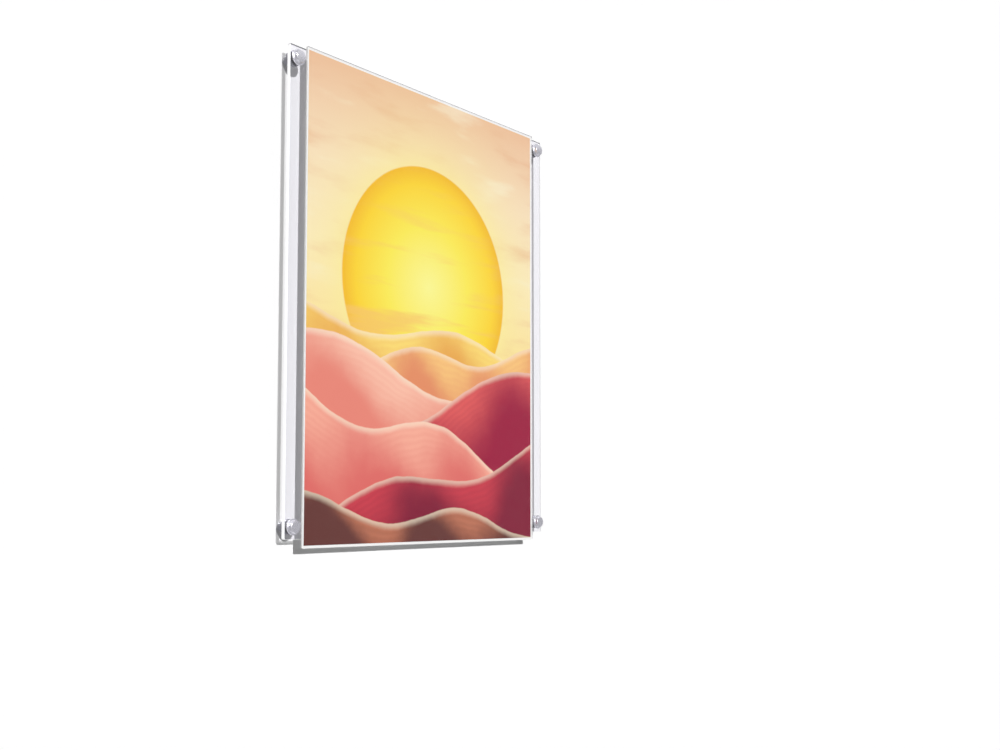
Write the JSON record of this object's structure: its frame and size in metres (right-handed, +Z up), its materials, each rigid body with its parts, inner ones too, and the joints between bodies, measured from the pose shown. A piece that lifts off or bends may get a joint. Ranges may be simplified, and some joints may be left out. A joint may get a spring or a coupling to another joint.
{
  "type": "wall poster display",
  "caption": "Wall-mounted poster display: a poster panel held by magnets on a clear acrylic back panel that stands off the wall on turned metal fittings.",
  "frame": {"origin": "middle of the four wall fixings, on the face of the wall", "axes": "+X to the right as seen by the viewer, +Y into the wall, +Z up; the poster faces -Y"},
  "size_m": [0.516, 0.0645, 0.6164],
  "materials": {
    "clear_acrylic": "clear cast acrylic with polished edges",
    "print": "colour print bonded behind the clear face",
    "white_board": "white backing sheet",
    "satin_aluminium": "turned, satin",
    "zinc_steel": "zinc plated",
    "bright_nickel": "nickel plated",
    "clear_washer": "clear nylon",
    "grey_nylon": "moulded nylon"
  },
  "bodies": {
    "wall_frame": {"back_panel": "clear_acrylic", "magnet_top_left": "bright_nickel", "magnet_top_right": "bright_nickel", "magnet_middle_left": "bright_nickel", "magnet_middle_right": "bright_nickel", "magnet_bottom_left": "bright_nickel", "magnet_bottom_right": "bright_nickel", "wall_plug_top_left": "grey_nylon", "wall_screw_top_left": "zinc_steel", "wall_post_top_left": "satin_aluminium", "rear_washer_top_left": "clear_washer", "wall_plug_top_right": "grey_nylon", "wall_screw_top_right": "zinc_steel", "wall_post_top_right": "satin_aluminium", "rear_washer_top_right": "clear_washer", "wall_plug_bottom_left": "grey_nylon", "wall_screw_bottom_left": "zinc_steel", "wall_post_bottom_left": "satin_aluminium", "rear_washer_bottom_left": "clear_washer", "wall_plug_bottom_right": "grey_nylon", "wall_screw_bottom_right": "zinc_steel", "wall_post_bottom_right": "satin_aluminium", "rear_washer_bottom_right": "clear_washer"},
    "poster_panel": {"poster_backing_board": "white_board", "poster_print": "print", "poster_clear_face": "clear_acrylic", "keeper_top_left": "zinc_steel", "keeper_top_right": "zinc_steel", "keeper_middle_left": "zinc_steel", "keeper_middle_right": "zinc_steel", "keeper_bottom_left": "zinc_steel", "keeper_bottom_right": "zinc_steel"},
    "loose_washer_top_left": {"front_washer_top_left": "clear_washer"},
    "thumb_cap_top_left": {"cap_top_left": "satin_aluminium", "stud_top_left": "zinc_steel"},
    "loose_washer_top_right": {"front_washer_top_right": "clear_washer"},
    "thumb_cap_top_right": {"cap_top_right": "satin_aluminium", "stud_top_right": "zinc_steel"},
    "loose_washer_bottom_left": {"front_washer_bottom_left": "clear_washer"},
    "thumb_cap_bottom_left": {"cap_bottom_left": "satin_aluminium", "stud_bottom_left": "zinc_steel"},
    "loose_washer_bottom_right": {"front_washer_bottom_right": "clear_washer"},
    "thumb_cap_bottom_right": {"cap_bottom_right": "satin_aluminium", "stud_bottom_right": "zinc_steel"}
  },
  "joints": [
    {"name": "poster_pull", "type": "slide", "parent": "wall_frame", "child": "poster_panel", "axis": [0, -1, 0], "range_m": [0, 0.1]},
    {"name": "cap_top_left_draw", "type": "slide", "parent": "wall_frame", "child": "loose_washer_top_left", "axis": [0, -1, 0], "range_m": [0, 0.0075]},
    {"name": "cap_top_left_turn", "type": "hinge", "parent": "loose_washer_top_left", "child": "thumb_cap_top_left", "pos_m": [-0.246, 0, 0.286], "axis": [0, -1, 0], "range_deg": [0, 2160]},
    {"name": "cap_top_right_draw", "type": "slide", "parent": "wall_frame", "child": "loose_washer_top_right", "axis": [0, -1, 0], "range_m": [0, 0.0075]},
    {"name": "cap_top_right_turn", "type": "hinge", "parent": "loose_washer_top_right", "child": "thumb_cap_top_right", "pos_m": [0.246, 0, 0.286], "axis": [0, -1, 0], "range_deg": [0, 2160]},
    {"name": "cap_bottom_left_draw", "type": "slide", "parent": "wall_frame", "child": "loose_washer_bottom_left", "axis": [0, -1, 0], "range_m": [0, 0.0075]},
    {"name": "cap_bottom_left_turn", "type": "hinge", "parent": "loose_washer_bottom_left", "child": "thumb_cap_bottom_left", "pos_m": [-0.246, 0, -0.286], "axis": [0, -1, 0], "range_deg": [0, 2160]},
    {"name": "cap_bottom_right_draw", "type": "slide", "parent": "wall_frame", "child": "loose_washer_bottom_right", "axis": [0, -1, 0], "range_m": [0, 0.0075]},
    {"name": "cap_bottom_right_turn", "type": "hinge", "parent": "loose_washer_bottom_right", "child": "thumb_cap_bottom_right", "pos_m": [0.246, 0, -0.286], "axis": [0, -1, 0], "range_deg": [0, 2160]}
  ],
  "couplings": [
    {"joint": "cap_top_left_draw", "follows": "cap_top_left_turn", "m_per_rad": 0.00019894},
    {"joint": "cap_top_right_draw", "follows": "cap_top_right_turn", "m_per_rad": 0.00019894},
    {"joint": "cap_bottom_left_draw", "follows": "cap_bottom_left_turn", "m_per_rad": 0.00019894},
    {"joint": "cap_bottom_right_draw", "follows": "cap_bottom_right_turn", "m_per_rad": 0.00019894}
  ]
}
